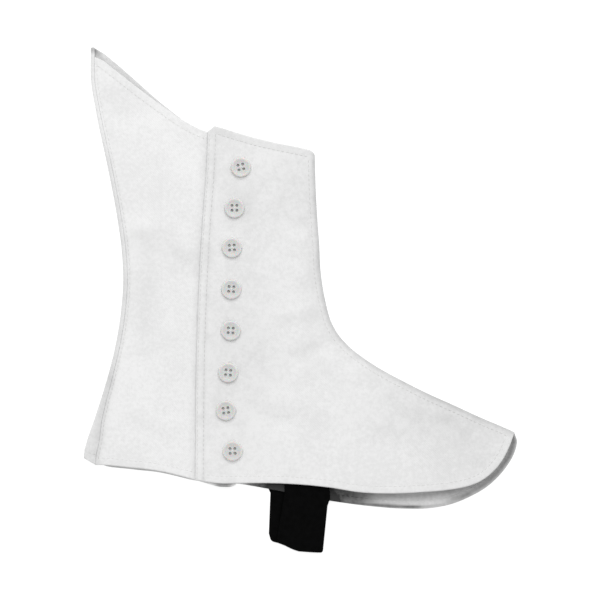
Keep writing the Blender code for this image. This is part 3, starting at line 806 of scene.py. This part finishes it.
def outer_back(outside, lining):
    """Makes the outer back, from the back seam to the front edge of the button stand."""
    outline, way_in, seam = back_fold(np.linspace(0, 1, FINE))
    seam_end = BACK_TOP[0].y - 2.2
    start = outline + way_in * (seam + SEAM_GAP)[:, None]
    start = start[start[:, 1] < seam_end]
    start = np.vstack([start, [start[-1][0], seam_end]])
    stand = [Point(point.x + UNDERLAP, point.y) for point in PLACKET]
    stand[0] = Point(stand[0].x, BACK_HEM[-1].y)
    stand[-1] = Point(stand[-1].x, BACK_TOP[-1].y)
    hem = curve([start[0], *BACK_HEM[1:-1], stand[0]])
    top = curve([start[-1], *BACK_TOP[1:-1], stand[-1]])
    stand = curve(stand)
    plan, from_seam, _ = patch(start, stand, hem, top, 168, 40)

    x, y = plan[..., 0], plan[..., 1]
    up_fold = (y - BACK[0].y) / (BACK[-1].y - BACK[0].y)
    to_placket = placket_x(y) - x
    beside = to_placket - STAND_CLEAR
    to_seam, along_seam, to_hem, along_hem, to_top, along_top, to_stand, _ = measured(
        plan, start, hem, top, stand)
    swell = (1 - np.exp(-from_seam / CROWN_REACH)) * (1 - np.exp(-np.clip(beside, 0, None) / CROWN_REACH))
    free = smoothstep(from_seam / 8) * smoothstep(beside / 6)
    uneven = LUMP_HEIGHT * lumps(x, y, LUMP_SIZE, 11) - crease_depth(x, y, BACK_CREASES)
    valley = heel_valley(to_seam, up_fold)
    height = (2 * FOLD_RADIUS - CLOTH / 2 + (BACK_CROWN - hollow_depth(x, y)) * swell + free * uneven
              - valley)

    edge = least(to_hem, to_top, to_stand, to_seam * EDGE_ROUND / SEAM_ROUND)
    thickness = rimmed(rim(edge)) * CLOTH / 2
    to_open_rim = np.minimum(to_hem, to_top)
    sewn = (turned_hem(to_open_rim, STITCH_INSET) * smoothstep(to_placket / 2)
            - groove(to_hem, along_hem, STITCH_INSET) - groove(to_top, along_top, STITCH_INSET)
            - groove(to_seam, along_seam, BACK_STITCH, BACK_GROOVE))
    seam_there = np.interp(up_fold, *zip(*BACK_SEAM))
    # Painted shade on the stand's lower corner where it peeps out under the outer front's hem, beside the
    # placket's edge, on the back fold and in the heel's valley; hem and cuff rims darker, partly painted
    # shade of their rounded edges and partly scuffing; and broad greyer patches.
    peeping_corner_shade = np.exp(-((x + 49.5) / 5.5) ** 4) * smoothstep((-112 - y) / 3)
    placket_shade = 0.13 * bell(to_placket, 2.6)
    wear_and_shade = np.maximum.reduce([
        0.2 * darker_rim(to_open_rim, 1.4), peeping_corner_shade,
        0.015 + fold_shade(to_seam + seam_there, seam_there, y) + 0.6 * valley + grey_patches(x, y)
        + placket_shade])
    piece = shell("outer_back_panel", np.dstack([plan, height]), thickness + sewn * rim(edge), thickness,
                  wear_and_shade, [outside, lining])
    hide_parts("outer_back")
    return piece, {"seam": start, "hem": hem, "top": top}


def outer_front(outside, lining):
    """Makes the outer front, from the placket over the vamp to the centre-front seam."""
    placket, front = curve(PLACKET), curve(FRONT)
    hem, top = curve(FRONT_HEM), curve(FRONT_SLANT, FRONT_TOP)
    plan, _, to_seam = patch(placket, front, hem, top, 136, 112)
    x, y = plan[..., 0], plan[..., 1]
    from_hem = np.linalg.norm(plan - plan[0], axis=2)
    to_placket, along_placket, to_front, along_front, to_hem, along_hem, to_top, along_top = measured(
        plan, placket, front, hem, top)

    past_stand = x - placket_x(y) - UNDERLAP - STAND_CLEAR
    free = smoothstep(past_stand / 9) * smoothstep(to_front / 8)
    folds = (crease_depth(x, y, FRONT_CREASES) * smoothstep((y - STRAP_TOP) / 8)
             - LUMP_HEIGHT * lumps(x, y, LUMP_SIZE, 23))
    height = (front_height(x, y, to_seam, from_hem) - folds * free
              - PLACKET_DROP * smoothstep(1 - to_placket / 4.5))

    edge = least(to_hem, to_top, to_placket, to_front)
    thickness = rimmed(rim(edge)) * CLOTH / 2
    seat = sum(np.exp(-((x - button.x) ** 2 + (y - button.y) ** 2) / 60) for button in BUTTONS)
    sewn = (turned_hem(np.minimum(to_hem, to_top), STITCH_INSET) + turned_hem(to_placket, PLACKET_STITCH)
            - groove(to_hem, along_hem, STITCH_INSET) - groove(to_top, along_top, STITCH_INSET)
            - groove(to_placket, along_placket, PLACKET_STITCH, PLACKET_GROOVE, PLACKET_WIDTH)
            - groove(to_placket, along_placket, PLACKET_EDGE) - groove(to_front, along_front, FRONT_STITCH)
            - 0.08 * seat + 0.05 * (1 - free) * lumps(x, y, LUMP_SIZE, 31))
    # Greyer towards the toe and the cuff and in broad patches; painted shade beside the placket's edge, in
    # its second row of stitching, along the hem's rim, and towards the centre-front seam over the light its
    # rounding catches.
    grey = 0.05 + 0.03 * smoothstep((x - 20) / 70) + 0.04 * smoothstep((y - 10) / 60)
    wear_and_shade = grey + grey_patches(x, y) + np.maximum.reduce([
        0.24 * darker_rim(to_hem, 1.4), 0.06 * smoothstep((6 - to_top) / 2),
        0.12 * darker_rim(to_placket, 3), 0.12 * bell(to_placket - PLACKET_STITCH, 1.3),
        0.36 * darker_rim(to_front, 4.5) + 0.09 * smoothstep(1 - to_front / 11)])
    piece = shell("outer_front_panel", np.dstack([plan, height]), thickness + sewn * rim(edge), thickness,
                  wear_and_shade, [outside, lining])
    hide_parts("outer_front")
    return piece, {"placket": placket, "front": front, "hem": hem, "top": top}


def leg_x(leg, y, shares):
    """Returns a strap leg's x at each share of its width, for a y at each share."""
    heights, left, right = zip(*leg)
    left, right = (np.interp(-y, np.negative(heights), side) for side in (left, right))
    return left + (right - left) * shares


def strap(webbing):
    """Makes the webbing strap: down the near leg, round the fold and up the far leg, with its ribs."""
    shares = np.concatenate([
        [0, 0.004, 0.012, 0.025], np.linspace(0.04, 0.96, 64), [0.975, 0.988, 0.996, 1]])
    low = STRAP_WALL / 2
    radius = (STRAP_LOW - low) / 2
    fold = np.interp(shares, *zip(*STRAP_REACH)) + radius + low
    downs = [STRAP_TOP + (fold - STRAP_TOP) * share
             for share in (0, 0.002, 0.006, *np.linspace(0.012, 1, 120))]
    rows = []
    for y in downs:
        fall = smoothstep((STRAP_DROP - y) / SINK_LENGTH)
        rows.append([leg_x(NEAR_LEG, y, shares), y, STRAP_INSIDE + (STRAP_LOW - STRAP_INSIDE) * fall])
    for angle in np.linspace(0, math.pi, 14)[1:-1]:
        y = fold - radius * math.sin(angle)
        share = (1 - math.cos(angle)) / 2
        x = leg_x(NEAR_LEG, y, shares) * (1 - share) + leg_x(FAR_LEG, y, shares) * share
        rows.append([x, y, np.full_like(y, low + radius + radius * math.cos(angle))])
    for y in downs[::-1]:
        rows.append([leg_x(FAR_LEG, y, shares), y, np.full_like(y, low)])
    middle = np.array(rows).transpose(0, 2, 1)

    lengthwise = np.linalg.norm(np.diff(middle, axis=0), axis=2)
    along = np.vstack([np.zeros(len(shares)), np.cumsum(lengthwise, axis=0)])
    width = shares * STRAP_WIDTH
    to_side = np.minimum(width, STRAP_WIDTH - width) + np.zeros_like(along)
    ribs = 0.05 * np.cos(math.tau * along / 1.1) * np.cos(math.pi * width / 2.2) ** 2
    selvedge = 0.10 * bell(to_side - 1.3, 0.8)
    share = rimmed(rim(least(to_side, along, along[-1] - along)))
    half = share * (low - 0.06 + ribs * smoothstep(to_side / 2) - selvedge * 0.5)
    piece = shell("foot_strap", middle, half, half, np.zeros_like(half), [webbing, webbing])
    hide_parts("strap")
    return piece


def surface_of(piece):
    """Returns a tree for finding a piece's surface, in millimetres of the spat's own plan."""
    mesh = piece.data
    points = np.empty(len(mesh.vertices) * 3)
    mesh.vertices.foreach_get("co", points)
    points = points.reshape(-1, 3) / MM - np.array([*CENTRE, 0])
    return BVHTree.FromPolygons(points.tolist(), [tuple(face.vertices) for face in mesh.polygons])


def height_at(surface, x, y, from_below=False):
    """Returns the height of a piece's upper or lower face at x, y, or None off the piece."""
    start = Vector((x, y, -50 if from_below else 50))
    hit = surface.ray_cast(start, Vector((0, 0, 1 if from_below else -1)))[0]
    return None if hit is None else hit.z


def inset_line(line, distance):
    """Returns a line beside another, that far to its left."""
    tangent = np.gradient(line, axis=0)
    tangent /= np.linalg.norm(tangent, axis=1)[:, None]
    return line + np.stack([-tangent[:, 1], tangent[:, 0]], axis=1) * distance


def stitch_points(line, surface, rims, inset, from_below=False):
    """Returns the two ends of each stitch along a line that stays that far inside all the rims."""
    found = []
    for start in np.arange(0.6, length_along(line)[-1] - STITCH_LENGTH, STITCH_PITCH):
        ends = walk(line, [start, start + STITCH_LENGTH])
        if min(nearest(ends, edge)[0].min() for edge in rims) < inset - 0.35:
            continue
        heights = [height_at(surface, *end, from_below) for end in ends]
        if None not in heights:
            found.append([(*end, z) for end, z in zip(ends, heights)])
    return found


def seams(surface, edges, rows, from_below=False):
    """Returns the stitches of rows that give an edge, its side, an inset and how far rims are kept."""
    found = []
    for edge, side, inset, clear in rows:
        line = inset_line(edges[edge], side * inset)
        found += stitch_points(line, surface, list(edges.values()), clear, from_below)
    return found


def thread_mesh(name, ends, radius, sag, material, lift):
    """Makes one mesh of short threads between pairs of points, their ends sunk by sag."""
    sides = 8
    profile = [(0, 0), (0.06, 0.62), (0.22, 0.95), (0.5, 1), (0.78, 0.95), (0.94, 0.62), (1, 0)]
    turns = np.linspace(0, math.tau, sides, endpoint=False)
    points, faces = [], []
    for first, last in np.array(ends):
        way = (last - first) / np.linalg.norm(last - first)
        aside = np.cross(way, (0, 0, 1))
        aside /= np.linalg.norm(aside)
        upward = np.cross(aside, way)
        base = len(points)
        for share, wide in profile:
            arch = 4 * share * (1 - share)
            centre = first + (last - first) * share + upward * (lift * arch - sag * (1 - arch))
            if wide == 0:
                points.append(centre)
            else:
                points.extend(
                    centre + radius * wide * (math.cos(t) * aside + math.sin(t) * upward) for t in turns)
        rings = [base + 1 + k * sides for k in range(len(profile) - 2)]
        tip = base + 1 + len(rings) * sides
        for side in range(sides):
            after = (side + 1) % sides
            faces.append((base, rings[0] + after, rings[0] + side))
            faces.append((tip, rings[-1] + side, rings[-1] + after))
            for ring, further in zip(rings[:-1], rings[1:]):
                faces.append((ring + side, ring + after, further + after, further + side))
    return new_piece(name, np.array(points), faces, [material])


def darken_threads_like_cloth(threads, cloth):
    """Gives each thread the painted shade and scuffing of the cloth that it is sewn into."""
    tree = KDTree(len(cloth.data.vertices))
    for number, vertex in enumerate(cloth.data.vertices):
        tree.insert(vertex.co, number)
    tree.balance()
    worn_and_shaded = cloth.data.attributes["wear_and_shade"].data
    grime_and_shade = threads.data.attributes.new("wear_and_shade", "FLOAT", "POINT")
    for number, vertex in enumerate(threads.data.vertices):
        grime_and_shade.data[number].value = worn_and_shaded[tree.find(vertex.co)[1]].value


def stitching(name, ends, thread, cloth):
    """Makes rows of stitches, darkened by the painted shade and scuffing of the cloth that they are sewn
    into.
    """
    threads = thread_mesh(name, ends, STITCH_RADIUS, 0.14, thread, 0.08)
    darken_threads_like_cloth(threads, cloth)
    return threads


def loose_object(name, form):
    """Makes an object of a form, for use while a mesh is being made."""
    mesh = bpy.data.meshes.new(name)
    form.to_mesh(mesh)
    form.free()
    return linked(name, mesh)


def button_mesh(plastic):
    """Turns a four-hole button with a rounded rim and a shallow well, as a mesh that all share."""
    outline = [
        (0, 1.97), (1.2, 1.97), (2.4, 1.98), (3.3, 2.01), (3.9, 2.07), (4.4, 2.16), (4.9, 2.26),
        (5.35, 2.32), (5.72, 2.32), (5.97, 2.24), (6.14, 2.07), (6.24, 1.80), (6.29, 1.4), (6.3, 0.95),
        (6.26, 0.5), (6.12, 0.18), (5.75, 0.03), (4.6, 0), (3, 0), (0, 0),
    ]
    sides, hole_sides, hole_radius, spacing = 64, 24, 0.94, 3.1
    turns = [math.tau * k / sides for k in range(sides)]
    form = bmesh.new()
    rings = []
    for radius, z in outline:
        places = [(radius * MM * math.cos(t), radius * MM * math.sin(t), z * MM) for t in turns]
        ring = [form.verts.new(place) for place in (places if radius else places[:1])]
        rings.append(ring if radius else ring * sides)
    for outer, inner in zip(rings[:-1], rings[1:]):
        for k in range(sides):
            corners = [outer[k], inner[k], inner[(k + 1) % sides], outer[(k + 1) % sides]]
            form.faces.new(list(dict.fromkeys(corners)))
    blank = loose_object("button_form", form)
    cutters = []
    for x, y in product((-spacing / 2, spacing / 2), repeat=2):
        drill = bmesh.new()
        bmesh.ops.create_cone(
            drill, cap_ends=True, segments=hole_sides, radius1=hole_radius * MM, radius2=hole_radius * MM,
            depth=6 * MM, matrix=Matrix.Translation((x * MM, y * MM, MM)))
        cutters.append(loose_object("drill", drill))
        blank.modifiers.new("Hole", "BOOLEAN").object = cutters[-1]
    bevel = blank.modifiers.new("Softened", "BEVEL")
    bevel.width = 0.14 * MM
    bevel.segments = 3
    bevel.limit_method = "ANGLE"
    bevel.angle_limit = math.radians(50)
    bpy.context.view_layer.update()
    finished = bpy.data.meshes.new_from_object(blank.evaluated_get(bpy.context.evaluated_depsgraph_get()))
    finished.name = "four_hole_button"
    finished.shade_smooth()
    finished.set_sharp_from_angle(angle=math.radians(42))
    finished.materials.clear()
    finished.materials.append(plastic)
    for spare in [blank, *cutters]:
        bpy.data.objects.remove(spare)
    return finished


def buttons(plastic):
    """Lays the eight buttons where the CAD model has them, but a little nearer the cuff."""
    mesh = button_mesh(plastic)
    for number, button in enumerate(BUTTONS, start=1):
        piece = linked(f"sewn_button_{number}", mesh)
        piece.location = to_metres([button.x, button.y + BUTTON_UP, BUTTON_HEIGHT])
        piece.rotation_euler = (0, 0, math.radians(button.turn))
        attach(piece, "root")
        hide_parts(f"button_{number}")


def button_threads(thread):
    """Makes the crossed threads that hold each button."""
    reach, ends = 1.25, []
    for button in BUTTONS:
        for diagonal, z in ((45, BUTTON_HEIGHT + 1.97), (135, BUTTON_HEIGHT + 2.17)):
            turn = math.radians(button.turn + diagonal)
            way = np.array([math.cos(turn), math.sin(turn)])
            for aside in (-0.17, 0.17):
                middle = np.array([button.x - way[1] * aside, button.y + BUTTON_UP + way[0] * aside])
                ends.append([(*(middle - way * reach), z), (*(middle + way * reach), z)])
    return thread_mesh("button_threads", ends, 0.17, 0.45, thread, 0.14)


def buttonholes(surface, thread):
    """Makes the worked buttonholes: close stitches round each slit, mostly hidden by the buttons."""
    chance = random.Random(7)
    length, half_width, spacing, bar = 12.8, 1.3, 0.42, 0.25
    ends = []
    for button in BUTTONS:
        middle_x = button.x + chance.uniform(-0.15, 0.3)
        stitches = []
        for x in np.arange(-length / 2, length / 2 + 0.01, spacing):
            for side in (-1, 1):
                outer_x = middle_x + x + chance.uniform(-0.06, 0.06)
                stitches.append([
                    (middle_x + x, button.y + side * 0.12), (outer_x, button.y + side * half_width)])
        for x in (-length / 2 - bar, length / 2 + bar):
            stitches.append([(middle_x + x, button.y + side * half_width * 1.05) for side in (-1, 1)])
        ends += [[(*place, height_at(surface, *place) + 0.04) for place in stitch] for stitch in stitches]
    return thread_mesh("buttonholes", ends, 0.19, 0.12, thread, 0.03)


def floor():
    """Makes the plain pale surface, which stays white in the soft shade beside the spat."""
    size = 3.0
    corners = [(-size, -size, 0.0), (size, -size, 0.0), (size, size, 0.0), (-size, size, 0.0)]
    mesh = bpy.data.meshes.new("pale_floor")
    mesh.from_pydata(corners, [], [(0, 1, 2, 3)])
    made, tree, shader, place = new_material("pale_paper")
    grain = noise(tree, place, 900, 3)
    plug(tree, shader, {
        "Base Color": blended(tree, grain, (0.34, 0.34, 0.34), (0.36, 0.36, 0.36)), "Roughness": 1,
        "Specular IOR Level": 0, "Emission Color": (1, 1, 1, 1), "Emission Strength": 0.80})
    mesh.materials.append(made)
    piece = linked("pale_floor", mesh)
    piece.location = (0, 0, -0.00005)


def lights():
    """Sets one broad soft light beyond the cuff, a little to the toe's side, and a pale surround."""
    lamp = bpy.data.lights.new("soft_window", "AREA")
    lamp.shape = "RECTANGLE"
    lamp.size, lamp.size_y = 2.4, 2
    lamp.energy = 44
    holder = linked("soft_window", lamp)
    holder.location = (0.12, 1.55, 2.4)
    holder.rotation_euler = (-holder.location).to_track_quat("-Z", "Y").to_euler()
    world = bpy.data.worlds.new("pale_room")
    world.use_nodes = True
    plug(world.node_tree, world.node_tree.nodes["Background"], {"Color": (1, 1, 1, 1), "Strength": 0.64})
    bpy.context.scene.world = world


def camera():
    """Looks straight down, with 0.64 mm of the spat to each pixel of a picture 600 pixels wide."""
    lens, sensor, framed = 200, 36, 0.384
    eye = bpy.data.cameras.new("camera")
    eye.lens = lens
    eye.sensor_width = sensor
    holder = linked("camera", eye)
    holder.location = (-0.00017, 0.00015, framed * lens / sensor + 0.004)
    bpy.context.scene.camera = holder
    bpy.context.scene.view_settings.view_transform = "Standard"


def main():
    """Builds the spat's looks."""
    # Each canvas's last colour is where painted shade, with some scuffing, is strongest; the lining's is
    # near black for the shade inside the open hem.
    outside = canvas("white_canvas", (0.88, 0.88, 0.88), (0.81, 0.81, 0.81), (0.22, 0.22, 0.22))
    lining = canvas("canvas_lining", (0.75, 0.75, 0.75), (0.66, 0.66, 0.66), (0.03, 0.03, 0.03))
    thread = thread_material("cotton_thread", (0.84, 0.84, 0.83), (0.74, 0.74, 0.73))
    inner, inner_edges = inner_panel(outside, lining)
    back, back_edges = outer_back(outside, lining)
    front, front_edges = outer_front(outside, lining)
    band = strap(webbing_material())

    surface = surface_of(front)
    open_rims = [("hem", 1, STITCH_INSET, STITCH_INSET), ("top", -1, STITCH_INSET, STITCH_INSET)]
    front_seam = ("front", 1, FRONT_STITCH, FRONT_STITCH)
    ends = seams(surface, front_edges, [
        *open_rims, ("placket", -1, PLACKET_STITCH, 1), ("placket", -1, PLACKET_EDGE, 1), front_seam])
    front_stitches = stitching("outer_front_stitches", ends, thread, front)
    holes = buttonholes(surface, thread)

    rows = [("hem", 1, STITCH_INSET), ("top", -1, STITCH_INSET), ("seam", -1, BACK_STITCH)]
    ends = seams(surface_of(back), back_edges, [(*row, BACK_STITCH) for row in rows])
    ends = [stitch for stitch in ends if stitch[1][0] < placket_x(stitch[1][1]) - 0.8]
    back_stitches = stitching("outer_back_stitches", ends, thread, back)

    surface = surface_of(inner)
    ends = seams(surface, inner_edges, open_rims)
    inner_stitches = stitching("inner_side_stitches", ends, thread, inner)
    ends = seams(surface, inner_edges, [*open_rims, front_seam], from_below=True)
    below_stitches = thread_mesh("inner_side_stitches_below", ends, STITCH_RADIUS, -0.24, thread, 0.18)

    buttons(plastic_material())
    button_threads(thread)

    floor()
    lights()
    camera()


main()
